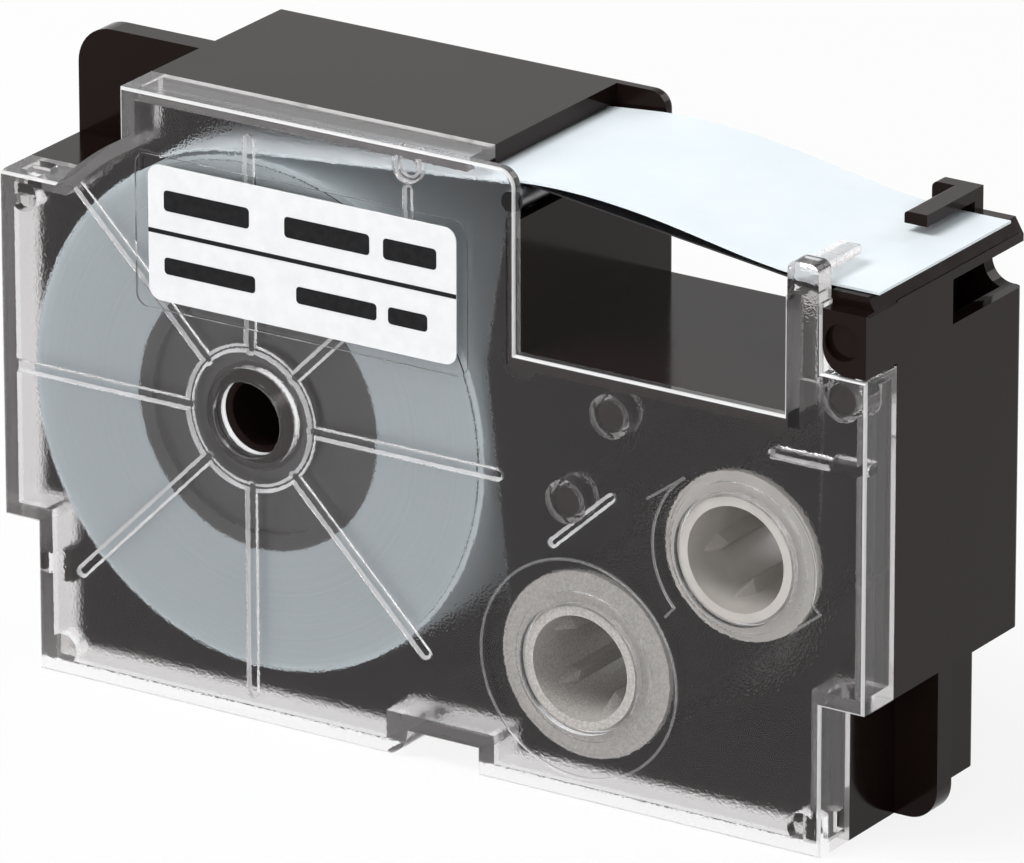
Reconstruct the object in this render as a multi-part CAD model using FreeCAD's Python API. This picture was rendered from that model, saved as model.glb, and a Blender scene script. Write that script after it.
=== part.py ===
import FreeCAD, Part
import math
import os
from FreeCAD import Vector

# Label tape cassette: a clear front shell and a black rear shell closed around a roll of
# label tape and an ink ribbon on two driven spools. Millimetres, +Z up, the clear face looks
# along -Y, and the origin is at the middle of the bottom of the whole cassette.

# Case sizes
tower_rise = 14.0
roof_gap = 1.25
front_wall = 0.9
back_wall = 1.2
shell_wall = 1.2
lid_wall = 1.0
lid_depth = 4.2
seam_gap = 0.05
face_edge_round = 0.3
back_edge_round = 0.6

# Tape roll, its core and the post it turns on
roll_radius = 19.8
roll_room = 1.5
roll_floor_gap = 1.05
arc_cut = 0.65
tape_width = 18.0
tape_thickness = 0.2
tape_front_gap = 1.05
tape_back_gap = 0.45
core_radius = 10.5
core_rim = 1.2
core_hub_wall = 1.4
core_web = 1.2
core_web_inset = 0.6
core_spoke_count = 6
core_spoke_width = 1.4
post_bore_radius = 2.5
post_wall = 1.1
post_end_gap = 0.3
running_gap = 0.05
slip_thickness = 0.15
slip_margin = 0.3
slip_hole_gap = 0.6
slip_front_gap = 0.6
slip_back_gap = 0.28

# Printing bay and the shoulder on its right
ribbon_lane = 3.55
bay_width = 22.8
bay_wall = 0.8
shoulder_width = 6.8
shoulder_rise = 8.75
deck_rise = 9.75
deck_thickness = 2.2
deck_front_gap = 1.3
bay_left_rise = 10.1
bay_right_rise = 8.3

# Steps in the outline
foot_height = 11.7
left_step = 3.0
right_step = 3.6
ear_drop = 8.55
tower_inset = 10.9
base_notch_end = 3.1
base_notch_width = 6.2
base_notch_height = 2.2
tower_corner = 1.4

# Mouth of the tape slot
mouth_width = 4.3
lip_drop = 1.5

# Flange plates behind the clear shell
plate_depth = 10.4
plate_thickness = 2.0
left_plate_corner = 3.0
right_plate_corner = 2.4

# Deck lip, the notch under it and the hook over the tape
lip_height = 1.75
lip_bevel_width = 0.7
lip_bevel_height = 1.2
lip_bevel_slope = 0.5
notch_depth = 11.85
notch_floor_rise = 4.6
notch_width = 2.6
notch_round = 1.8
hook_inset = 3.4
hook_rise = 11.6
hook_thickness = 0.9
hook_width = 3.6
hook_finger_width = 1.9
hook_reach = 7.8
hook_bar_depth = 1.2
hook_stem_round = 0.5
hook_finger_round = 0.3
corner_block_drop = 4.75
corner_block_round = 2.0
dimple_radius = 1.4
dimple_depth = 0.5
dimple_in = 0.2
dimple_drop = 0.9

# Clear post with its collar, and the finger over the tape
clear_post_width = 3.1
clear_post_rise = 11.8
clear_post_depth = 1.7
collar_rise = 9.0
collar_margin = 0.25
finger_reach = 6.4
finger_width = 1.7
finger_thickness = 0.7
finger_set_back = 0.6
finger_drop = 0.35
clear_post_round = 0.7
clear_post_overlap = 1.0
clear_shoulder_rise = 3.8

# Ribs, rings and bosses inside the clear shell
rib_height = 0.45
rib_width = 1.0
rib_bevel = 0.25
rib_count = 8
rib_reach = 22.0
ring_radius = 5.4
ring_wall = 0.65
centre_hole_radius = 2.95
centre_collar_wall = 0.9
centre_collar_depth = 0.75
hub_collar_wall = 0.7
hub_collar_height = 0.3
peg_radius = 1.1
peg_gap = 0.1
low_peg_in = 4.05
low_peg_drop = 10.6
mid_peg_in = 7.8
mid_peg_drop = 3.3
right_peg_in = 2.3
right_peg_rise = 1.9
socket_wall = 0.5
socket_height = 2.0
socket_bevel = 0.18
peg_end_gap = 0.3
top_boss_radius = 1.3
top_boss_height = 0.7
top_boss_in = 9.5
top_boss_drop = 1.6
top_rib_drop = 3.4
top_rib_length = 2.3
slim_rib_width = 0.8
slim_rib_bevel = 0.25
peg_rib_run = 5.0
peg_rib_rise = 4.5
peg_rib_left = 1.1
peg_rib_drop = 3.4
shelf_from_takeup = 2.9
shelf_drop = 3.3
shelf_height = 1.0
shelf_end_width = 3.3
stop_radius = 1.2
stop_inset = 1.8

# Fine lines moulded in the clear face
line_depth = 0.12
line_width = 0.22
supply_line_radius = 8.4
takeup_line_radius = 6.9
takeup_line_top = 128.0
takeup_line_left = 223.0
takeup_line_right = -17.0
takeup_line_end = 48.0

# Recessed panel and the sticker on it
panel_left = 1.3
panel_top_gap = 4.7
panel_recess = 0.2
panel_corner = 1.0
label_margin_left = 1.1
label_margin_right = 1.0
label_margin_top = 0.7
label_margin_bottom = 0.7
label_width = 26.9
label_height = 10.5
label_thickness = 0.1
label_corner = 1.0

# Latches between the shells
latch_depth = 3.0
latch_tongue_width = 2.6
latch_window_width = 1.6
latch_window_depth = 1.0
latch_gap = 0.15
latch_thickness = 0.7
latch_tongue_lead = 0.9
latch_tongue_root = 1.5
latch_catch_depth = 0.4
latch_from_left = 2.1
latch_right_rise = 2.0
latch_left_rise = 8.0

# Ribbon spools
hub_radius = 4.75
hub_wall = 0.7
hub_end_gap = 0.25
hub_running_gap = 0.3
hub_tooth_count = 6
hub_tooth_height = 0.95
hub_tooth_width = 1.7
hub_tooth_inset = 2.2
hub_tooth_ramp = 1.8
hub_tooth_root = 0.2
hub_tooth_end_height = 0.25
hub_tooth_end_share = 0.4
flange_front_gap = 0.6
flange_thickness = 0.5
flange_bead = 0.25
flange_bead_height = 0.05
supply_flange_radius = 7.15
takeup_flange_radius = 6.45
supply_roll_margin = 0.75
takeup_roll_margin = 0.95
supply_in = 5.5
supply_drop = 23.1
supply_phase = 38.0
takeup_in = 4.1
takeup_drop = 11.9
takeup_phase = 11.0
friction_ring_thickness = 0.15
friction_ring_margin = 0.15
friction_ring_hole_gap = 0.1
ribbon_thickness = 0.12
ribbon_margin = 0.4

# Guides that lead the tape and the ribbon
pin_radius = 0.8
pin_in = 0.6
pin_drop = 2.6
corner_guide_radius = 1.6
corner_guide_in = 1.85
corner_guide_drop = 1.8
right_guide_radius = 0.8
right_guide_sink = 0.1
strip_gap = 0.06
strip_space = 0.3
tape_wrap = 20.0
tape_lift = 5.0
tape_middle_rise = 11.75
tape_pull = 12.0
tape_end_inset = 0.1
ribbon_wrap = 40.0

# Back of the rear shell
back_recess_depth = 0.3
back_ring_margin = 1.0
back_panel_width = 24.0
back_panel_height = 9.0
back_panel_gap = 4.0
sense_hole = 1.8
sense_depth = 0.8
sense_pitch = 3.2
sense_count = 4
sense_in = 4.0
sense_rise = 2.2

# Places worked out from the sizes above
depth = front_wall + tape_front_gap + tape_width + tape_back_gap + back_wall
case_arc_radius = roll_radius + roll_room + shell_wall
roll_to_left = case_arc_radius - arc_cut
width = roll_to_left + roll_radius + ribbon_lane + bay_width + shoulder_width
left = -width / 2
right = width / 2
front = -depth / 2
back = depth / 2
part_line = front + lid_depth
rear_rim = part_line + seam_gap
roll_x = left + roll_to_left
roll_z = roll_floor_gap + case_arc_radius
height = roll_z + case_arc_radius + roof_gap
bay_floor = height - tower_rise
ear_height = height - ear_drop
post_radius = post_bore_radius + post_wall
bay_left = roll_x + roll_radius + ribbon_lane
bay_right = bay_left + bay_width
tower_left = left + tower_inset
foot_left = left + left_step
foot_right = right - right_step
shoulder_top = bay_floor + shoulder_rise
clear_shoulder_top = bay_floor + clear_shoulder_rise
deck_top = bay_floor + deck_rise
deck_left = foot_right
mouth_left = bay_left - mouth_width
mouth_floor = bay_floor + bay_left_rise
inner_front = front + front_wall
inner_back = back - back_wall
tape_front = inner_front + tape_front_gap
tape_back = tape_front + tape_width
ribbon_front = tape_front + ribbon_margin
ribbon_back = tape_back
supply_x = bay_left + supply_in
supply_z = bay_floor - supply_drop
takeup_x = bay_right - takeup_in
takeup_z = bay_floor - takeup_drop
hub_bore_radius = hub_radius - hub_wall
hub_hole_radius = hub_radius + hub_running_gap
supply_roll_radius = supply_flange_radius - supply_roll_margin
takeup_roll_radius = takeup_flange_radius - takeup_roll_margin
hub_front = front + hub_end_gap
hub_back = back - hub_end_gap
pin_x = bay_left - pin_in
pin_z = height - pin_drop
corner_guide_x = bay_left - corner_guide_in
corner_guide_z = bay_floor - corner_guide_drop
right_guide_x = bay_right + bay_wall + right_guide_radius - right_guide_sink
right_guide_z = bay_floor + bay_right_rise
clear_post_right = bay_right + clear_post_width
panel_width = label_margin_left + label_width + label_margin_right
panel_height = label_margin_top + label_height + label_margin_bottom
socket_radius = peg_radius + peg_gap + socket_wall
peg_places = [
    (bay_left + low_peg_in, bay_floor - low_peg_drop),
    (bay_left + mid_peg_in, bay_floor - mid_peg_drop),
    (right - right_peg_in, bay_floor + right_peg_rise),
]


# Shapes used all over the cassette

def box(x0, x1, y0, y1, z0, z1):
    return Part.makeBox(x1 - x0, y1 - y0, z1 - z0, Vector(x0, y0, z0))


def rod(x, z, radius, y0, y1):
    return Part.makeCylinder(radius, y1 - y0, Vector(x, y0, z), Vector(0, 1, 0))


def tube(x, z, outer, inner, y0, y1):
    return rod(x, z, outer, y0, y1).cut(rod(x, z, inner, y0, y1))


def prism(points, y0, y1):
    corners = [Vector(x, y0, z) for x, z in points]
    outline = Part.makePolygon(corners + [corners[0]])
    return Part.Face(outline).extrude(Vector(0, y1 - y0, 0))


def bar(x0, z0, x1, z1, thick, y0, y1):
    """Straight rib between two points of the face, with round ends."""
    length = math.hypot(x1 - x0, z1 - z0)
    nx = -(z1 - z0) / length * thick / 2
    nz = (x1 - x0) / length * thick / 2
    corners = [(x0 + nx, z0 + nz), (x1 + nx, z1 + nz), (x1 - nx, z1 - nz), (x0 - nx, z0 - nz)]
    body = prism(corners, y0, y1)
    ends = [rod(x0, z0, thick / 2, y0, y1), rod(x1, z1, thick / 2, y0, y1)]
    return body.fuse(ends).removeSplitter()


def bevel_top(shape, y, size):
    """Bevels every edge of a rib's or ring's flat top at the given depth."""
    edges = []
    for edge in shape.Edges:
        limits = edge.BoundBox
        if abs(limits.YMin - y) < 0.001 and abs(limits.YMax - y) < 0.001:
            edges.append(edge)
    return shape.makeChamfer(size, edges)


def arc_bar(x, z, radius, start, end, thick, y0, y1):
    """Curved rib on a circle of the face, between two angles in degrees."""
    ring = tube(x, z, radius + thick / 2, radius - thick / 2, y0, y1)
    steps = max(2, int(math.ceil(abs(end - start) / 60.0)))
    wedge = [(x, z)]
    for step in range(steps + 1):
        angle = math.radians(start + (end - start) * step / steps)
        wedge.append((x + 3 * radius * math.cos(angle), z + 3 * radius * math.sin(angle)))
    return ring.common(prism(wedge, y0, y1))


def polar(x, z, radius, angle):
    turn = math.radians(angle)
    return x + radius * math.cos(turn), z + radius * math.sin(turn)


def round_corners(shape, corners, radius):
    """Rounds the edges that run along Y through the named corners of the face."""
    edges = []
    for edge in shape.Edges:
        start = edge.Vertexes[0].Point
        end = edge.Vertexes[-1].Point
        if abs(end.y - start.y) < 0.01 or math.hypot(end.x - start.x, end.z - start.z) > 0.001:
            continue
        for x, z in corners:
            if math.hypot(start.x - x, start.z - z) < 0.01:
                edges.append(edge)
    return shape.makeFillet(radius, edges)


def round_face(shape, y, radius):
    """Rounds the outline of the flat face at the given depth, but not its sunken arc."""
    edges = []
    for edge in shape.Edges:
        limits = edge.BoundBox
        flat = abs(limits.YMin - y) < 0.001 and abs(limits.YMax - y) < 0.001
        sunken = not isinstance(edge.Curve, Part.Line) and edge.Curve.Radius > tower_corner + 1.0
        if flat and not sunken:
            edges.append(edge)
    return shape.makeFillet(radius, edges)


# Outline of the case, shared by both shells

def case_outline(y0, y1, inset, shoulder, bay_inset):
    """Solid of the case's outline between two depths, drawn in by an inset on every side."""
    arc = case_arc_radius - inset
    roof = height - inset
    mid_top = bay_floor - inset
    foot_top = foot_height + inset
    base = box(foot_left + inset, foot_right - inset, y0, y1, inset, mid_top)
    ear = box(left + inset, roll_x, y0, y1, foot_top, ear_height - inset)
    limits = box(left + inset, roll_x + arc, y0, y1, foot_top, roof)
    chamber = rod(roll_x, roll_z, arc, y0, y1).common(limits)
    tower = box(tower_left + inset, bay_left - bay_inset, y0, y1, roll_z, roof)
    middle = box(roll_x, right - inset, y0, y1, foot_top, mid_top)
    rise = box(bay_right + bay_inset, right - inset, y0, y1, foot_top, shoulder - inset)
    return base.fuse([ear, chamber, tower, middle, rise]).removeSplitter()


def base_notch(y0, y1):
    """Shallow notch in the underside, with a round corner on its left."""
    end = bay_left - base_notch_end
    start = end - base_notch_width
    notch = box(start, end, y0, y1, -1.0, base_notch_height)
    corner_x = start - base_notch_height
    corner = box(corner_x, start, y0, y1, -1.0, base_notch_height)
    corner = corner.cut(rod(corner_x, base_notch_height, base_notch_height, y0, y1))
    return notch.fuse(corner)


def notch_wall(wall, y0, y1):
    """Block that keeps a wall of even thickness round the base notch."""
    end = bay_left - base_notch_end + wall
    start = bay_left - base_notch_end - base_notch_width - base_notch_height
    return box(start, end, y0, y1, 0.0, base_notch_height + wall)


def latch_places():
    """Middle of each latch window, with the direction that its wall faces."""
    return [
        (left + latch_from_left, ear_height, 0, 1),
        (foot_right, latch_right_rise, 1, 0),
        (foot_left, latch_left_rise, -1, 0),
    ]


def latch_box(place, half, y0, y1, outer, inner):
    """Block across a wall at a latch, from an outer to an inner distance from its face."""
    x, z, dx, dz = place
    if dz:
        return box(x - half, x + half, y0, y1, z - inner, z - outer)
    if dx > 0:
        return box(x - inner, x - outer, y0, y1, z - half, z + half)
    return box(x + outer, x + inner, y0, y1, z - half, z + half)


# Black rear shell

def rear_case():
    shell = case_outline(rear_rim, back, 0.0, shoulder_top, 0.0)
    shell = round_corners(shell, [(bay_left, height)], tower_corner)
    shell = round_face(shell, back, back_edge_round).fuse(flange_plates())
    cavity = case_outline(part_line - 1.0, inner_back, shell_wall, shoulder_top, bay_wall)
    cavity = cavity.cut(notch_wall(shell_wall, front, back))
    mouth = box(mouth_left, bay_left + 1.0, part_line - 1.0, inner_back, mouth_floor, height + 1.0)
    ribbon_way = box(bay_right + bay_wall, deck_left, part_line - 1.0, inner_back,
                     bay_floor - shell_wall, height)
    wall_top = box(bay_right - 1.0, bay_right + bay_wall + 0.01, part_line - 1.0, back + 1.0,
                   right_guide_z, height)
    body = shell.cut([cavity, mouth, ribbon_way, wall_top])
    lip = box(mouth_left - shell_wall, mouth_left, rear_rim, inner_back + 0.1,
              height - lip_drop, height)
    return body.fuse([lip] + bay_lining(0.0, inner_front + seam_gap, part_line + 1.0))


def bay_lining(room, y0, y1):
    """Left wall and floor of the printing bay between two depths, with room round them."""
    low = bay_floor - shell_wall - room
    inner = bay_left - bay_wall - room
    wall = box(inner, bay_left, y0, y1, low, mouth_floor)
    floor = box(inner, bay_right, y0, y1, low, bay_floor)
    return [wall, floor]


def deck_block():
    """Raised deck for the end of the tape, its bevelled lip and the block at the front corner."""
    deck_front = front + deck_front_gap
    deck = box(deck_left, right, deck_front, back, deck_top - deck_thickness, deck_top)
    block = box(deck_left, right, front, part_line + 1.0,
                shoulder_top - corner_block_drop, shoulder_top)
    block = round_corners(block, [(deck_left, shoulder_top - corner_block_drop)], corner_block_round)
    bevel = prism([(right - lip_bevel_width, deck_top), (right + 1.0, deck_top + lip_bevel_slope),
                   (right + 1.0, deck_top - lip_bevel_height), (right, deck_top - lip_bevel_height)],
                  deck_front - 1.0, back + 1.0)
    dimple = rod(deck_left + dimple_radius + dimple_in, shoulder_top - dimple_radius - dimple_drop,
                 dimple_radius, front - 1.0, front + dimple_depth)
    return deck.fuse(block).cut([bevel, dimple])


def deck_notch():
    """Notch in the back of the right wall, under the lip."""
    inner = right - notch_width
    floor = bay_floor + notch_floor_rise
    notch = box(inner, right + 1.0, front + notch_depth, back + 1.0, floor, deck_top - lip_height)
    return round_corners(notch, [(inner, floor)], notch_round)


def hook():
    """Stem behind the tape, with a finger that reaches forward over it."""
    hook_right = right - hook_inset
    hook_top = bay_floor + hook_rise
    stem = box(hook_right - hook_width, hook_right, back - hook_bar_depth, back,
               deck_top - deck_thickness, hook_top)
    stem = round_corners(stem, [(hook_right - hook_width, hook_top)], hook_stem_round)
    finger_left = hook_right - hook_finger_width
    finger = box(finger_left, hook_right, back - hook_reach, back,
                 hook_top - hook_thickness, hook_top)
    finger = round_corners(finger, [(finger_left, hook_top)], hook_finger_round)
    return stem.fuse(finger)


def flange_plates():
    plate_front = front + plate_depth
    plate_back = plate_front + plate_thickness
    upper = box(left, tower_left + 0.5, plate_front, plate_back, ear_height - 0.5, height)
    upper = round_corners(upper, [(left, height)], left_plate_corner)
    lower = box(foot_right - 0.5, right, plate_front, plate_back, 0.0, foot_height + 0.5)
    lower = round_corners(lower, [(right, 0.0)], right_plate_corner)
    return [upper, lower]


def back_details():
    """Shallow recesses on the back: rings at the hubs, a bare panel and sensing holes."""
    y0 = back - back_recess_depth
    cuts = []
    for x, z in ((supply_x, supply_z), (takeup_x, takeup_z)):
        cuts.append(rod(x, z, hub_hole_radius + back_ring_margin, y0, back + 1.0))
    panel_z = roll_z + post_radius + back_panel_gap
    panel = box(roll_x - back_panel_width / 2, roll_x + back_panel_width / 2, y0, back + 1.0,
                panel_z, panel_z + back_panel_height)
    cuts.append(panel)
    for step in range(sense_count):
        x = foot_left + sense_in + sense_pitch * step
        cuts.append(box(x, x + sense_hole, back - sense_depth, back + 1.0,
                        sense_rise, sense_rise + sense_hole))
    return cuts


def rear_shell():
    body = rear_case()
    post_front = inner_front + centre_collar_depth + post_end_gap
    seat = inner_back + 0.1
    parts = [deck_block(), hook()]
    parts.append(rod(roll_x, roll_z, post_radius, post_front, seat))
    parts.append(rod(corner_guide_x, corner_guide_z, corner_guide_radius, part_line, seat))
    parts.append(rod(right_guide_x, right_guide_z, right_guide_radius, part_line, seat))
    for x, z in peg_places:
        parts.append(rod(x, z, peg_radius, inner_front + peg_end_gap, seat))
    for place in latch_places():
        inner = lid_wall + latch_gap + latch_thickness
        parts.append(latch_box(place, latch_tongue_width / 2, front + latch_depth - latch_tongue_lead,
                               part_line + latch_tongue_root, lid_wall + latch_gap, inner))
        half = latch_window_width / 2 - latch_gap
        parts.append(latch_box(place, half, front + latch_depth - latch_window_depth / 2 + latch_gap,
                               front + latch_depth + latch_window_depth / 2 - latch_gap,
                               latch_catch_depth, lid_wall + latch_gap + 0.1))
    body = body.fuse(parts)
    cuts = [deck_notch(), base_notch(front - 1.0, back + 1.0)]
    cuts.append(rod(roll_x, roll_z, post_bore_radius, front, back + 1.0))
    for x, z in ((supply_x, supply_z), (takeup_x, takeup_z)):
        cuts.append(rod(x, z, hub_hole_radius, inner_back - 0.5, back + 1.0))
    return body.cut(cuts + back_details()).removeSplitter()


# Clear front shell

def clear_case():
    shell = case_outline(front, part_line, 0.0, clear_shoulder_top, 0.0)
    collar = box(bay_right, clear_post_right, front, part_line, bay_floor,
                 bay_floor + collar_rise)
    shell = shell.fuse(collar).removeSplitter()
    shell = round_corners(shell, [(bay_left, height)], tower_corner)
    shell = round_face(shell, front, face_edge_round)
    cavity = case_outline(inner_front, part_line + 1.0, lid_wall, clear_shoulder_top, lid_wall)
    cavity = cavity.cut(notch_wall(lid_wall, front, back))
    mouth = box(mouth_left, bay_left + 1.0, inner_front, part_line + 1.0, mouth_floor, height + 1.0)
    ribbon_way = box(bay_right + lid_wall, clear_post_right + 0.01,
                     front + clear_post_depth, part_line + 1.0,
                     bay_floor - lid_wall - 0.5, bay_floor + collar_rise + 1.0)
    return shell.cut([cavity, mouth, ribbon_way])


def clear_post():
    """Narrow top of the post and the finger that keeps the tape down."""
    post_left = bay_right + collar_margin
    post_right = clear_post_right - collar_margin
    base = bay_floor + collar_rise - clear_post_overlap
    top = bay_floor + clear_post_rise
    post = box(post_left, post_right, front, front + clear_post_depth, base, top)
    post = round_corners(post, [(post_left, top), (post_right, top)], clear_post_round)
    middle = (post_left + post_right) / 2
    finger_top = top - finger_drop
    finger = box(middle - finger_width / 2, middle + finger_width / 2, front + finger_set_back,
                 front + finger_reach, finger_top - finger_thickness, finger_top)
    return post.fuse(finger)


def radial_ribs():
    ribs = []
    y1 = inner_front + rib_height
    for step in range(rib_count):
        angle = 360.0 * step / rib_count
        x0, z0 = polar(roll_x, roll_z, ring_radius, angle)
        x1, z1 = polar(roll_x, roll_z, rib_reach - rib_width / 2, angle)
        x1 = max(x1, left + lid_wall)
        rib = bar(x0, z0, x1, z1, rib_width, inner_front - 0.1, y1)
        ribs.append(bevel_top(rib, y1, rib_bevel))
    return ribs


def clear_bosses():
    """Everything that stands up inside the clear face."""
    y0 = inner_front - 0.1
    low = inner_front + rib_height
    ring = tube(roll_x, roll_z, ring_radius + ring_wall / 2, ring_radius - ring_wall / 2, y0, low)
    parts = [bevel_top(ring, low, rib_bevel)]
    parts.append(tube(roll_x, roll_z, centre_hole_radius + centre_collar_wall, centre_hole_radius,
                      y0, inner_front + centre_collar_depth))
    for x, z in ((supply_x, supply_z), (takeup_x, takeup_z)):
        parts.append(tube(x, z, hub_hole_radius + hub_collar_wall, hub_hole_radius,
                          y0, inner_front + hub_collar_height))
    for x, z in peg_places:
        socket = tube(x, z, socket_radius, peg_radius + peg_gap, y0, inner_front + socket_height)
        parts.append(bevel_top(socket, inner_front + socket_height, socket_bevel))
    boss_x = bay_left - top_boss_in
    boss = tube(boss_x, height - top_boss_drop, top_boss_radius, top_boss_radius - socket_wall,
                y0, inner_front + top_boss_height)
    parts.append(bevel_top(boss, inner_front + top_boss_height, socket_bevel))
    rib_top = height - top_rib_drop
    top_rib = bar(boss_x, rib_top, boss_x, rib_top - top_rib_length, slim_rib_width, y0, low)
    peg_x, peg_z = peg_places[0]
    start_x = peg_x - peg_rib_left
    start_z = peg_z - peg_rib_drop
    peg_rib = bar(start_x, start_z, start_x + peg_rib_run, start_z + peg_rib_rise,
                  slim_rib_width, y0, low)
    parts += [bevel_top(top_rib, low, slim_rib_bevel), bevel_top(peg_rib, low, slim_rib_bevel)]
    shelf = bay_floor - shelf_drop
    shelf_bar = bar(takeup_x + shelf_from_takeup, shelf, right - lid_wall, shelf, slim_rib_width,
                    y0, inner_front + shelf_height)
    parts.append(bevel_top(shelf_bar, inner_front + shelf_height, slim_rib_bevel))
    parts.append(bar(right - shelf_end_width, shelf, right - lid_wall, shelf, slim_rib_width,
                     y0, part_line - stop_inset))
    for x, z in ((left + stop_inset, ear_height - stop_inset), (foot_left + stop_inset, stop_inset),
                 (foot_right - stop_inset, stop_inset)):
        parts.append(rod(x, z, stop_radius, y0, part_line - stop_inset))
    return parts


def face_lines():
    """Fine lines round the two spools."""
    y0 = front - 1.0
    y1 = front + line_depth
    ring = tube(supply_x, supply_z, supply_line_radius + line_width / 2,
                supply_line_radius - line_width / 2, y0, y1)
    lines = [ring]
    for start, end in ((takeup_line_top, takeup_line_left), (takeup_line_right, takeup_line_end)):
        lines.append(arc_bar(takeup_x, takeup_z, takeup_line_radius, start, end, line_width, y0, y1))
    x0, z0 = polar(takeup_x, takeup_z, takeup_line_radius, takeup_line_top)
    lines.append(bar(x0, z0, x0 - 3.1, z0 - 2.2, line_width, y0, y1))
    x0, z0 = polar(takeup_x, takeup_z, takeup_line_radius, takeup_line_left)
    lines.append(bar(x0, z0, x0 - 0.7, z0 - 0.8, line_width, y0, y1))
    x0, z0 = polar(takeup_x, takeup_z, takeup_line_radius, takeup_line_right)
    lines.append(bar(x0, z0, x0 + 0.7, z0 - 0.6, line_width, y0, y1))
    lines.append(bar(x0 + 0.7, z0 - 0.6, x0 - 1.8, z0 - 2.5, line_width, y0, y1))
    return lines


def panel_box(x_margin, z_margin, wide, tall, corner, y0, y1):
    x0 = tower_left + panel_left + x_margin
    z1 = height - panel_top_gap - z_margin
    panel = box(x0, x0 + wide, y0, y1, z1 - tall, z1)
    places = [(x0, z1), (x0 + wide, z1), (x0, z1 - tall), (x0 + wide, z1 - tall)]
    return round_corners(panel, places, corner)


def front_shell():
    body = clear_case()
    limits = case_outline(front, part_line, 0.2, clear_shoulder_top, 0.2)
    inner = [part.common(limits) for part in radial_ribs() + clear_bosses()]
    body = body.fuse(inner + [clear_post()])
    cuts = [base_notch(front - 1.0, back + 1.0)]
    cuts.append(rod(roll_x, roll_z, centre_hole_radius, front - 1.0, part_line))
    for x, z in ((supply_x, supply_z), (takeup_x, takeup_z)):
        cuts.append(rod(x, z, hub_hole_radius, front - 1.0, part_line))
    for x, z in peg_places:
        cuts.append(rod(x, z, peg_radius + peg_gap, inner_front, part_line))
    cuts.append(panel_box(0, 0, panel_width, panel_height, panel_corner, front - 1.0,
                          front + panel_recess))
    cuts += bay_lining(seam_gap, inner_front, part_line + 1.0)
    for place in latch_places():
        cuts.append(latch_box(place, latch_window_width / 2,
                              front + latch_depth - latch_window_depth / 2,
                              front + latch_depth + latch_window_depth / 2, -1.0, lid_wall + 0.05))
        cuts.append(latch_box(place, latch_tongue_width / 2 + latch_gap,
                              front + latch_depth - latch_tongue_lead - latch_gap, part_line + 1.0,
                              lid_wall, lid_wall + latch_thickness + 2 * latch_gap))
    return body.cut(cuts + face_lines()).removeSplitter()


def front_label():
    y1 = front + panel_recess
    return panel_box(label_margin_left, label_margin_top, label_width, label_height, label_corner,
                     y1 - label_thickness, y1)


# Tape roll, core and slip discs

def tape_core():
    hub_inner = post_radius + running_gap
    hub_outer = hub_inner + core_hub_wall
    rim_inner = core_radius - core_rim
    body = tube(roll_x, roll_z, core_radius, rim_inner, tape_front, tape_back)
    hub = tube(roll_x, roll_z, hub_outer, hub_inner, tape_front, tape_back)
    web_front = tape_front + core_web_inset
    web = tube(roll_x, roll_z, rim_inner + 0.1, hub_outer - 0.1, web_front, web_front + core_web)
    body = body.fuse([hub, web])
    for step in range(core_spoke_count):
        angle = 360.0 * step / core_spoke_count
        x0, z0 = polar(roll_x, roll_z, hub_outer + 0.2, angle)
        x1, z1 = polar(roll_x, roll_z, rim_inner - 0.2, angle)
        body = body.fuse(bar(x0, z0, x1, z1, core_spoke_width, web_front, tape_back - core_web))
    return body.removeSplitter()


def tape_roll():
    return tube(roll_x, roll_z, roll_radius, core_radius, tape_front, tape_back)


def slip_disc(y0):
    return tube(roll_x, roll_z, roll_radius - slip_margin, post_radius + slip_hole_gap,
                y0, y0 + slip_thickness)


# Strips that run over guides, all turning the same way

def strip(circles, thick, y0, y1, start_wrap, end_angle):
    """Strip pulled tight over circles (x, z, radius), passing each on its left side."""
    normals = []
    for (x0, z0, r0), (x1, z1, r1) in zip(circles, circles[1:]):
        span = math.hypot(x1 - x0, z1 - z0)
        heading = math.atan2(z1 - z0, x1 - x0)
        normals.append(heading + math.acos((r0 - r1) / span))
    angles = [(normals[0] + math.radians(start_wrap), normals[0])]
    for before, after in zip(normals, normals[1:]):
        angles.append((before, after))
    angles.append((normals[-1], math.radians(end_angle)))
    paths = []
    for lift in (thick, 0.0):
        points = []
        for (x, z, r), (a0, a1) in zip(circles, angles):
            turn = (a0 - a1) % (2 * math.pi)
            stops = [a0, a0 - turn / 2, a0 - turn]
            points.append([Vector(x + (r + lift) * math.cos(a), y0, z + (r + lift) * math.sin(a))
                           for a in stops])
        edges = []
        for step, arc in enumerate(points):
            edges.append(Part.Arc(*arc).toShape())
            if step + 1 < len(points):
                edges.append(Part.makeLine(arc[2], points[step + 1][0]))
        paths.append((edges, points[0][0], points[-1][2]))
    outer, inner = paths
    caps = [Part.makeLine(outer[1], inner[1]), Part.makeLine(outer[2], inner[2])]
    wire = Part.Wire(Part.__sortEdges__(outer[0] + inner[0] + caps))
    return Part.Face(wire).extrude(Vector(0, y1 - y0, 0))


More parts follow.
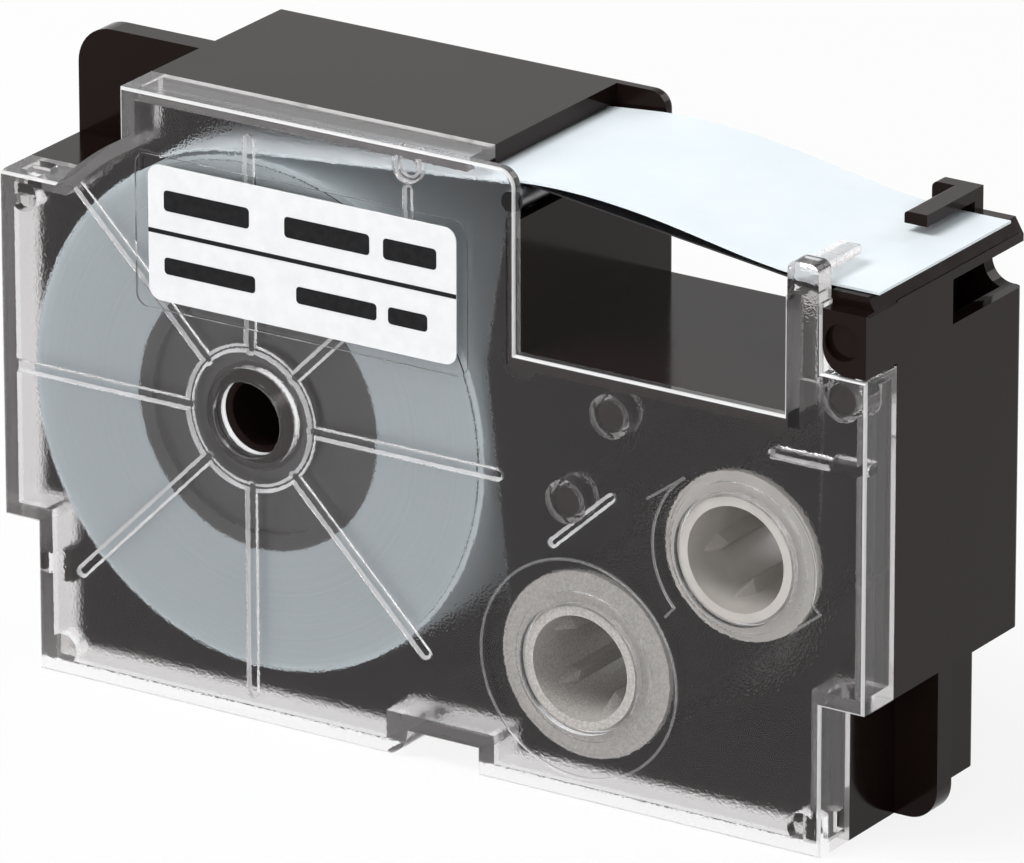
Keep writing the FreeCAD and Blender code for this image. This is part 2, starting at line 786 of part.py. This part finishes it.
def label_tape():
    """Free end of the tape: off the top of the roll, over the pin, arched to the lip."""
    pin_wrap = pin_radius + 2 * strip_gap + ribbon_thickness
    circles = [(roll_x, roll_z, roll_radius + strip_space), (pin_x, pin_z, pin_wrap)]
    leave = 90.0 + tape_lift
    feed = strip(circles, tape_thickness, tape_front, tape_back, tape_wrap, leave)
    slope = Vector(math.cos(math.radians(tape_lift)), 0, math.sin(math.radians(tape_lift)))
    sides = []
    for lift in (0.0, tape_thickness):
        x0, z0 = polar(pin_x, pin_z, pin_wrap + lift, leave)
        flat = deck_top + strip_gap + lift
        points = [Vector(x0, tape_front, z0),
                  Vector(bay_left + bay_width / 2, tape_front, bay_floor + tape_middle_rise + lift),
                  Vector(deck_left, tape_front, flat)]
        curve = Part.BSplineCurve()
        curve.interpolate(Points=points, InitialTangent=slope * tape_pull,
                          FinalTangent=Vector(tape_pull, 0, 0))
        end = Vector(right - tape_end_inset, tape_front, flat)
        sides.append([curve.toShape(), Part.makeLine(points[-1], end), points[0], end])
    low, high = sides
    edges = low[:2] + high[:2] + [Part.makeLine(low[2], high[2]), Part.makeLine(low[3], high[3])]
    arch = Part.Face(Part.Wire(Part.__sortEdges__(edges))).extrude(Vector(0, tape_width, 0))
    return feed.fuse(arch).removeSplitter()


def ink_ribbon():
    circles = [
        (supply_x, supply_z, supply_roll_radius + strip_space),
        (corner_guide_x, corner_guide_z, corner_guide_radius + strip_gap),
        (pin_x, pin_z, pin_radius + strip_gap),
        (right_guide_x, right_guide_z, right_guide_radius + strip_gap),
        (takeup_x, takeup_z, takeup_roll_radius + strip_space),
    ]
    return strip(circles, ribbon_thickness, ribbon_front, ribbon_back, ribbon_wrap, -ribbon_wrap)


def tape_guide_pin():
    return rod(pin_x, pin_z, pin_radius, inner_front, inner_back)


# Ribbon spools

def hub_tooth(x, z, angle):
    """Pointed drive tooth inside a hub, sloped at both ends."""
    root = hub_bore_radius + hub_tooth_root
    tip = hub_bore_radius - hub_tooth_height
    half = hub_tooth_width / 2
    y0 = hub_front + hub_tooth_inset
    y1 = hub_back - hub_tooth_inset

    def section(y, reach, wide):
        corners = [Vector(root, y, -wide), Vector(root, y, wide), Vector(reach, y, 0.0)]
        return Part.makePolygon(corners + [corners[0]])

    shallow = root - hub_tooth_end_height
    narrow = half * hub_tooth_end_share
    sections = [section(y0, shallow, narrow), section(y0 + hub_tooth_ramp, tip, half),
                section(y1 - hub_tooth_ramp, tip, half), section(y1, shallow, narrow)]
    tooth = Part.makeLoft(sections, True, True)
    tooth.rotate(Vector(0, 0, 0), Vector(0, 1, 0), -angle)
    tooth.translate(Vector(x, 0, z))
    return tooth


def ribbon_spool(x, z, flange_radius, phase):
    body = tube(x, z, hub_radius, hub_bore_radius, hub_front, hub_back)
    y0 = inner_front + flange_front_gap
    flange = tube(x, z, flange_radius, hub_radius - 0.1, y0, y0 + flange_thickness)
    bead = tube(x, z, flange_radius, flange_radius - flange_bead, y0 - flange_bead_height,
                y0 + flange_thickness)
    body = body.fuse([flange, bead])
    for step in range(hub_tooth_count):
        body = body.fuse(hub_tooth(x, z, phase + 360.0 * step / hub_tooth_count))
    return body.removeSplitter()


def ribbon_roll(x, z, radius):
    return tube(x, z, radius, hub_radius, ribbon_front, ribbon_back)


def friction_ring():
    """Thin felt ring stuck inside the rear wall, round the supply hub."""
    inner = hub_hole_radius + friction_ring_hole_gap
    return tube(supply_x, supply_z, supply_flange_radius - friction_ring_margin, inner,
                inner_back - friction_ring_thickness, inner_back)


os.makedirs("parts", exist_ok=True)

solids = {
    "rear_shell": rear_shell(),
    "front_shell": front_shell(),
    "front_label": front_label(),
    "tape_core": tape_core(),
    "tape_roll": tape_roll(),
    "front_slip_disc": slip_disc(inner_front + slip_front_gap),
    "rear_slip_disc": slip_disc(tape_back + slip_back_gap),
    "label_tape": label_tape(),
    "ink_ribbon": ink_ribbon(),
    "tape_guide_pin": tape_guide_pin(),
    "ribbon_supply_spool": ribbon_spool(supply_x, supply_z, supply_flange_radius, supply_phase),
    "ribbon_takeup_spool": ribbon_spool(takeup_x, takeup_z, takeup_flange_radius, takeup_phase),
    "ribbon_supply_roll": ribbon_roll(supply_x, supply_z, supply_roll_radius),
    "ribbon_takeup_roll": ribbon_roll(takeup_x, takeup_z, takeup_roll_radius),
    "supply_friction_ring": friction_ring(),
}

for name, shape in solids.items():
    shape.exportStep("parts/" + name + ".step")
    print(name, len(shape.Solids), round(shape.Volume, 1), shape.isValid())
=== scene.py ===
import math

import bpy
from mathutils import Matrix, Vector


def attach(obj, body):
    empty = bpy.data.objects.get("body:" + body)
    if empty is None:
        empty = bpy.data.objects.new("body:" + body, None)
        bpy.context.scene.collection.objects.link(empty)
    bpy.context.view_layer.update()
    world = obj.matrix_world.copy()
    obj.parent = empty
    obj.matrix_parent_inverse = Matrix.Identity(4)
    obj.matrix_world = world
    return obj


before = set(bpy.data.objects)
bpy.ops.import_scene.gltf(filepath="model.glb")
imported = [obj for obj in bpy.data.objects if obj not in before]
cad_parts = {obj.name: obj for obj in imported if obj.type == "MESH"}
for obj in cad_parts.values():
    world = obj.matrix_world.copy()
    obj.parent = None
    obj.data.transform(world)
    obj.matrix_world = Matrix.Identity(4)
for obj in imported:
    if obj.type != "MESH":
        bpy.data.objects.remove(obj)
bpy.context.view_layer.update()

mm = 0.001

# Black rear shell: one injection moulding in glossy black ABS that holds everything else.
# Its walls are polished like the mould, with a faint wave and a few fine marks from handling.


def new_material(name):
    """A material, its node tree and its main shader."""
    material = bpy.data.materials.new(name)
    material.use_nodes = True
    return material, material.node_tree, material.node_tree.nodes["Principled BSDF"]


def cloud(tree, scale, detail=2.0):
    """Noise that stays fixed to its piece."""
    place = tree.nodes.new("ShaderNodeTexCoord")
    noise = tree.nodes.new("ShaderNodeTexNoise")
    noise.inputs["Scale"].default_value = scale
    noise.inputs["Detail"].default_value = detail
    tree.links.new(place.outputs["Object"], noise.inputs["Vector"])
    return noise.outputs["Fac"]


def spread(tree, value, low, high, start=0.0, end=1.0):
    """A value that runs from start to end, made to run from low to high."""
    stretch = tree.nodes.new("ShaderNodeMapRange")
    stretch.inputs["From Min"].default_value = start
    stretch.inputs["From Max"].default_value = end
    stretch.inputs["To Min"].default_value = low
    stretch.inputs["To Max"].default_value = high
    tree.links.new(value, stretch.inputs["Value"])
    return stretch.outputs["Result"]


def uneven(tree, height, strength, depth):
    """The normal of a surface that is made uneven by a height."""
    bump = tree.nodes.new("ShaderNodeBump")
    bump.inputs["Strength"].default_value = strength
    bump.inputs["Distance"].default_value = depth
    tree.links.new(height, bump.inputs["Height"])
    return bump.outputs["Normal"]


def finish_node(node, material):
    """Gives a piece of the frame its finish, on all of its material slots."""
    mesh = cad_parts[node].data
    if not mesh.materials:
        mesh.materials.append(material)
    for step in range(len(mesh.materials)):
        mesh.materials[step] = material


black, tree, shader = new_material("glossy_black_moulding")
shader.inputs["Base Color"].default_value = (0.010, 0.0056, 0.0050, 1)
shader.inputs["IOR"].default_value = 1.5
shader.inputs["Specular IOR Level"].default_value = 0.1
shader.inputs["Specular Tint"].default_value = (1, 0.8, 0.77, 1)
handling_marks = cloud(tree, 900, 3.0)
mould_wave = cloud(tree, 110, 1.0)
tree.links.new(spread(tree, handling_marks, 0.09, 0.15, 0.3, 0.7), shader.inputs["Roughness"])
tree.links.new(uneven(tree, mould_wave, 0.05, 0.0004), shader.inputs["Normal"])
finish_node("rear_shell", black)

# Clear front shell: one injection moulding in clear polystyrene, pressed onto the rear shell.
# Its walls are polished, and its face has a fine grain all over except on the label's panel.
# The spans say where each finish lies on the shell, in millimetres.
outer_face_span = (-10.82, -10.78)
edge_line_span = (-10.78, -10.62)
inner_face_span = (-9.95, -9.3)
skirt_span = (-9.3, -4.0)
rim_span = (-6.65, -6.5)
panel_across = (-25.2, 3.8)
panel_up = (30.7, 42.6)
post_across = (30.4, 34.0)
post_up = (41.5, 47.0)
# Strengths of the painted highlight that makes the rims and the edge of the face less clear and whitish.
rim_painted_highlight = 0.5
edge_line_painted_highlight = 0.3
least_clearness = 0.35


def worked_out(tree, operation, *inputs):
    """Result of a maths node, fed with plain numbers and with results of other nodes."""
    node = tree.nodes.new("ShaderNodeMath")
    node.operation = operation
    for socket, value in zip(node.inputs, inputs):
        if isinstance(value, (int, float)):
            socket.default_value = value
        else:
            tree.links.new(value, socket)
    return node.outputs["Value"]


def within(tree, place, span):
    """1 where a coordinate lies within a span in millimetres, and 0 elsewhere."""
    low, high = span
    return worked_out(tree, "COMPARE", place, (low + high) / 2 * mm, (high - low) / 2 * mm)


clear, tree, shader = new_material("clear_moulding")
shader.inputs["IOR"].default_value = 1.5
shader.inputs["Specular Tint"].default_value = (0.5, 0.47, 0.47, 1)
place = tree.nodes.new("ShaderNodeTexCoord")
split = tree.nodes.new("ShaderNodeSeparateXYZ")
tree.links.new(place.outputs["Object"], split.inputs["Vector"])
across = split.outputs["X"]
depth = split.outputs["Y"]
height = split.outputs["Z"]

panel = worked_out(tree, "MULTIPLY", within(tree, across, panel_across), within(tree, height, panel_up))
bare = worked_out(tree, "SUBTRACT", 1.0, panel)
inner_face = worked_out(tree, "MULTIPLY", within(tree, depth, inner_face_span), bare)
outer_face = worked_out(tree, "MULTIPLY", within(tree, depth, outer_face_span), bare)
both_faces = worked_out(tree, "MAXIMUM", inner_face, outer_face)
grain = worked_out(tree, "MULTIPLY", cloud(tree, 5200, 1.0), both_faces)
tree.links.new(spread(tree, inner_face, 0.015, 0.16), shader.inputs["Roughness"])
tree.links.new(uneven(tree, grain, 0.7, 0.00003), shader.inputs["Normal"])

# The rims, the edge of the face and the bevelled edges are made less clear and whitish as a painted
# highlight, so they show as bright lines.
surface = tree.nodes.new("ShaderNodeNewGeometry")
facing = tree.nodes.new("ShaderNodeSeparateXYZ")
tree.links.new(surface.outputs["True Normal"], facing.inputs["Vector"])
lean = worked_out(tree, "ABSOLUTE", facing.outputs["Y"])
slanted = worked_out(tree, "COMPARE", lean, 0.5, 0.42)
rims = worked_out(tree, "MULTIPLY", within(tree, depth, rim_span), rim_painted_highlight)
edge_lines = worked_out(tree, "MULTIPLY", within(tree, depth, edge_line_span), edge_line_painted_highlight)
painted_edge_highlight = worked_out(tree, "MAXIMUM", worked_out(tree, "MAXIMUM", rims, edge_lines), slanted)
tree.links.new(spread(tree, painted_edge_highlight, 1.0, least_clearness), shader.inputs["Transmission Weight"])

# The skirt and the corner post are tinted grey as painted shade, and the rest of the shell is nearly
# colourless.
post = worked_out(tree, "MULTIPLY", within(tree, across, post_across), within(tree, height, post_up))
painted_shade_tint = tree.nodes.new("ShaderNodeMix")
painted_shade_tint.data_type = "RGBA"
painted_shade_tint.inputs["A"].default_value = (0.985, 0.985, 0.99, 1)
painted_shade_tint.inputs["B"].default_value = (0.70, 0.68, 0.68, 1)
skirt_or_post = worked_out(tree, "MAXIMUM", within(tree, depth, skirt_span), post)
tree.links.new(skirt_or_post, painted_shade_tint.inputs["Factor"])
tree.links.new(painted_shade_tint.outputs["Result"], shader.inputs["Base Color"])
finish_node("front_shell", clear)

# Tape roll: label tape wound on its core, seen from the edge as hundreds of fine turns.
# The tape is white film on a pale backing, so the edge looks pale grey-blue.
roll_x, roll_z = -15.55, 23.55


def two_tones(tree, value, first, second, start, end):
    """A colour that runs from one tone to another as a value runs from start to end."""
    tint = tree.nodes.new("ShaderNodeValToRGB")
    tint.color_ramp.elements[0].position = start
    tint.color_ramp.elements[0].color = (*first, 1)
    tint.color_ramp.elements[1].position = end
    tint.color_ramp.elements[1].color = (*second, 1)
    tree.links.new(value, tint.inputs["Fac"])
    return tint.outputs["Color"]


wound, tree, shader = new_material("wound_tape_edge")
shader.inputs["Roughness"].default_value = 0.5
place = tree.nodes.new("ShaderNodeTexCoord")
centre = tree.nodes.new("ShaderNodeMapping")
centre.inputs["Location"].default_value = (-roll_x * mm, 0, -roll_z * mm)
flat = tree.nodes.new("ShaderNodeVectorMath")
flat.operation = "MULTIPLY"
flat.inputs[1].default_value = (1, 0, 1)
radius = tree.nodes.new("ShaderNodeVectorMath")
radius.operation = "LENGTH"
turns = tree.nodes.new("ShaderNodeTexNoise")
turns.noise_dimensions = "1D"
turns.inputs["Scale"].default_value = 5200
turns.inputs["Detail"].default_value = 2
tree.links.new(place.outputs["Object"], centre.inputs["Vector"])
tree.links.new(centre.outputs["Vector"], flat.inputs[0])
tree.links.new(flat.outputs["Vector"], radius.inputs[0])
tree.links.new(radius.outputs["Value"], turns.inputs["W"])
edge_colour = two_tones(tree, turns.outputs["Fac"], (0.60, 0.67, 0.70), (0.66, 0.73, 0.76), 0.3, 0.7)
tree.links.new(edge_colour, shader.inputs["Base Color"])
finish_node("tape_roll", wound)

# Tape core: dark plastic reel inside the roll that turns on the rear shell's centre post.
# Moulded in one piece with rim, web and spokes, and left with a satin finish.


def moulded_plastic(name, dark, light, roughness, scale, coat=0.0):
    """Opaque moulded plastic with slight cloudiness in its colour and gloss."""
    material, tree, shader = new_material(name)
    shader.inputs["Coat Weight"].default_value = coat
    shader.inputs["Coat Roughness"].default_value = 0.15
    mottle = cloud(tree, scale, 3.0)
    tree.links.new(two_tones(tree, mottle, dark, light, 0.35, 0.65), shader.inputs["Base Color"])
    tree.links.new(spread(tree, mottle, roughness - 0.05, roughness + 0.08), shader.inputs["Roughness"])
    tree.links.new(uneven(tree, mottle, 0.12, 0.00003), shader.inputs["Normal"])
    return material


finish_node("tape_core", moulded_plastic("dark_reel_plastic", (0.012, 0.0095, 0.009),
                                         (0.018, 0.0145, 0.014), 0.35, 700))

# Slip discs: two die-cut sheets of thin clear film that keep the roll's edges off the shells.
# They lie loose beside the roll, one on each side.
film, tree, shader = new_material("slip_disc_film")
shader.inputs["Base Color"].default_value = (0.98, 0.985, 0.99, 1)
shader.inputs["Transmission Weight"].default_value = 1.0
shader.inputs["IOR"].default_value = 1.3
tree.links.new(spread(tree, cloud(tree, 400), 0.02, 0.1), shader.inputs["Roughness"])
for node in ("front_slip_disc", "rear_slip_disc"):
    finish_node(node, film)

# Free end of the label tape: smooth white polyester film, pulled from the roll over the pin,
# arched across the bay and held down at the deck by the hook and the clear finger.
finish_node("label_tape", moulded_plastic("white_tape_film", (0.79, 0.865, 0.905),
                                          (0.83, 0.90, 0.94), 0.4, 160))

# Ink ribbon and its two rolls: very thin polyester film coated black on one side.
# It runs from the supply spool over the guides, under the tape, to the take-up spool.
ink = moulded_plastic("black_ribbon_film", (0.010, 0.009, 0.010), (0.016, 0.014, 0.015), 0.3, 500)
for node in ("ink_ribbon", "ribbon_supply_roll", "ribbon_takeup_roll"):
    finish_node(node, ink)

# Supply spool: moulded in one piece in speckled grey-white plastic, with a wide flange,
# a hub that stands out through both shells and six pointed teeth inside for the drive.
finish_node("ribbon_supply_spool", moulded_plastic("speckled_spool_plastic", (0.36, 0.342, 0.325),
                                                   (0.54, 0.515, 0.49), 0.42, 6500))

# Take-up spool: the same moulding in smooth off-white plastic.
# It carries the used ribbon, and its surface is a little glossier than the supply spool's.
finish_node("ribbon_takeup_spool", moulded_plastic("off_white_spool_plastic", (0.47, 0.443, 0.415),
                                                   (0.51, 0.485, 0.455), 0.3, 500, coat=0.4))

# Felt ring: die-cut felt stuck inside the rear wall, which keeps the ribbon taut.
# Its fibres show as fine pale and dark speckles.
finish_node("supply_friction_ring", moulded_plastic("speckled_felt", (0.36, 0.345, 0.33),
                                                    (0.56, 0.54, 0.515), 0.85, 3600))

# Guide pin: ground steel rod seated between the shells, which the tape and ribbon bend over.
# Its gloss varies finely from place to place, as on a ground surface.
steel, tree, shader = new_material("ground_steel")
shader.inputs["Metallic"].default_value = 1.0
shader.inputs["Base Color"].default_value = (0.2, 0.2, 0.205, 1)
tree.links.new(spread(tree, cloud(tree, 1800), 0.2, 0.4), shader.inputs["Roughness"])
finish_node("tape_guide_pin", steel)

# Sticker: white coated paper with round corners, stuck into the clear shell's shallow panel.
# Its coat gives it an even half-matt surface.
finish_node("front_label", moulded_plastic("coated_label_paper", (0.80, 0.805, 0.82),
                                           (0.84, 0.845, 0.855), 0.5, 900))

# Print on the sticker: a divider line and plain bars in black ink, with no lettering.
# Each is a thin raised field with round corners. The bars' ends are measured from the sticker's
# left edge, and their heights from the divider.
label_left, label_right = -24.1, 2.8
label_top, label_bottom = 41.9, 31.4
label_front = -10.7
print_height = 0.02
divider_rise = 0.1
divider_half = 0.17
divider_corner = 0.05
bar_corner = 0.3
upper_bars = ((1.4, 8.9), (12.0, 19.4), (20.6, 25.2))
upper_rise = (1.7, 3.3)
lower_bars = ((1.4, 9.4), (13.0, 20.0), (21.0, 24.4))
lower_rise = (-3.2, -1.9)


def printed_bar(x0, x1, z0, z1, corner):
    """One field of ink on the sticker, as a plate with rounded corners."""
    bpy.ops.object.select_all(action="DESELECT")
    bpy.ops.mesh.primitive_plane_add(size=1, location=(0, 0, 0), rotation=(math.pi / 2, 0, 0))
    bar = bpy.context.object
    bar.scale = ((x1 - x0) * mm, (z1 - z0) * mm, 1)
    bar.location = ((x0 + x1) / 2 * mm, label_front * mm, (z0 + z1) / 2 * mm)
    bpy.ops.object.transform_apply(location=True, rotation=True, scale=True)
    bpy.ops.object.mode_set(mode="EDIT")
    bpy.ops.mesh.select_all(action="SELECT")
    bpy.ops.mesh.bevel(offset=corner * mm, segments=5, affect="VERTICES")
    bpy.ops.mesh.select_all(action="SELECT")
    bpy.ops.mesh.extrude_region_move(TRANSFORM_OT_translate={"value": (0, -print_height * mm, 0)})
    bpy.ops.mesh.select_all(action="SELECT")
    bpy.ops.mesh.normals_make_consistent(inside=False)
    bpy.ops.object.mode_set(mode="OBJECT")
    return bar


divider = (label_top + label_bottom) / 2 + divider_rise
divider_bottom = divider - divider_half
divider_top = divider + divider_half
printed = [printed_bar(label_left, label_right, divider_bottom, divider_top, divider_corner)]
for bars, (low, high) in ((upper_bars, upper_rise), (lower_bars, lower_rise)):
    for start, end in bars:
        bar = printed_bar(label_left + start, label_left + end, divider + low, divider + high, bar_corner)
        printed.append(bar)
bpy.ops.object.select_all(action="DESELECT")
for bar in printed:
    bar.select_set(True)
bpy.context.view_layer.objects.active = printed[0]
bpy.ops.object.join()
label_print = printed[0]
label_print.name = "label_print"
label_print.data.materials.clear()
printing_ink = moulded_plastic("printing_ink", (0.008, 0.008, 0.009), (0.014, 0.014, 0.015), 0.5, 1500)
printing_ink.node_tree.nodes["Principled BSDF"].inputs["Specular IOR Level"].default_value = 0.12
label_print.data.materials.append(printing_ink)
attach(label_print, "case")

# Studio: a pale table that keeps the cassette's soft shadow, and a white room round it.
# Both look white or nearly so to the camera, in reflections and through clear walls.
table_glow_share = 0.86
room_strength = 0.27


def looked_at(tree):
    """1 for what the camera, a reflection or a clear wall shows, and 0 for light on its way."""
    seen = tree.nodes.new("ShaderNodeLightPath")
    shown = worked_out(tree, "MAXIMUM", seen.outputs["Is Camera Ray"], seen.outputs["Is Glossy Ray"])
    return worked_out(tree, "MAXIMUM", shown, seen.outputs["Is Transmission Ray"])


bpy.ops.object.select_all(action="DESELECT")
bpy.ops.mesh.primitive_plane_add(size=3.0, location=(0, 0, 0))
table = bpy.context.object
table.name = "pale_table"
pale = bpy.data.materials.new("pale_table_top")
pale.use_nodes = True
tree = pale.node_tree
tree.nodes.clear()
matt = tree.nodes.new("ShaderNodeBsdfDiffuse")
matt.inputs["Color"].default_value = (0.9, 0.9, 0.9, 1)
glow = tree.nodes.new("ShaderNodeEmission")
glow.inputs["Color"].default_value = (1, 1, 1, 1)
glow.inputs["Strength"].default_value = 1.0
blend = tree.nodes.new("ShaderNodeMixShader")
out = tree.nodes.new("ShaderNodeOutputMaterial")
tree.links.new(worked_out(tree, "MULTIPLY", looked_at(tree), table_glow_share), blend.inputs["Fac"])
tree.links.new(matt.outputs["BSDF"], blend.inputs[1])
tree.links.new(glow.outputs["Emission"], blend.inputs[2])
tree.links.new(blend.outputs["Shader"], out.inputs["Surface"])
table.data.materials.append(pale)

world = bpy.data.worlds.new("white_room")
bpy.context.scene.world = world
world.use_nodes = True
tree = world.node_tree
tree.nodes.clear()
room_light = tree.nodes.new("ShaderNodeBackground")
room_light.inputs["Color"].default_value = (1, 1, 1, 1)
room_light.inputs["Strength"].default_value = room_strength
white = tree.nodes.new("ShaderNodeBackground")
white.inputs["Color"].default_value = (1, 1, 1, 1)
blend = tree.nodes.new("ShaderNodeMixShader")
out = tree.nodes.new("ShaderNodeOutputWorld")
tree.links.new(looked_at(tree), blend.inputs["Fac"])
tree.links.new(room_light.outputs["Background"], blend.inputs[1])
tree.links.new(white.outputs["Background"], blend.inputs[2])
tree.links.new(blend.outputs["Shader"], out.inputs["Surface"])

# Lights: a large soft box above the left, a weaker one in front and one behind the right.
# All three point at about the middle of the cassette.
lit_point = Vector((0, 0, 0.025))


def soft_box(name, place, size, power):
    """A round lamp of a size in metres and a power in watts."""
    bpy.ops.object.select_all(action="DESELECT")
    bpy.ops.object.light_add(type="AREA", location=place)
    lamp = bpy.context.object
    lamp.name = name
    lamp.data.shape = "DISK"
    lamp.data.size = size
    lamp.data.energy = power
    aim = lit_point - Vector(place)
    lamp.rotation_euler = aim.to_track_quat("-Z", "Y").to_euler()


soft_box("soft_box_above", (-0.25, -0.35, 0.8), 0.5, 6.3)
soft_box("soft_box_front", (0.3, -0.8, 0.3), 0.4, 1.9)
soft_box("soft_box_behind", (0.35, 0.85, 0.45), 0.5, 2.2)

# Camera: a long lens from the right and a little above, as the cassette was photographed.
# Its turn and height are angles round the point that it looks at.
view_turn = math.radians(33.09)
view_height = math.radians(20.60)
view_roll = math.radians(-0.09)
view_distance = 882.07 * mm
view_target = Vector((8.735, -12.483, 28.190)) * mm
right = Vector((math.cos(view_turn), math.sin(view_turn), 0))
back = Vector((math.sin(view_turn) * math.cos(view_height),
               -math.cos(view_turn) * math.cos(view_height), math.sin(view_height)))
up = back.cross(right)
side = math.cos(view_roll) * right + math.sin(view_roll) * up
top = -math.sin(view_roll) * right + math.cos(view_roll) * up
bpy.ops.object.camera_add(location=(0, 0, 0))
camera = bpy.context.object
camera.name = "photo_camera"
camera.data.lens = 431.79
camera.data.sensor_width = 36
turned = Matrix((side, top, back)).transposed().to_4x4()
camera.matrix_world = Matrix.Translation(view_target + view_distance * back) @ turned
bpy.context.scene.camera = camera

bpy.context.scene.view_settings.view_transform = "Standard"
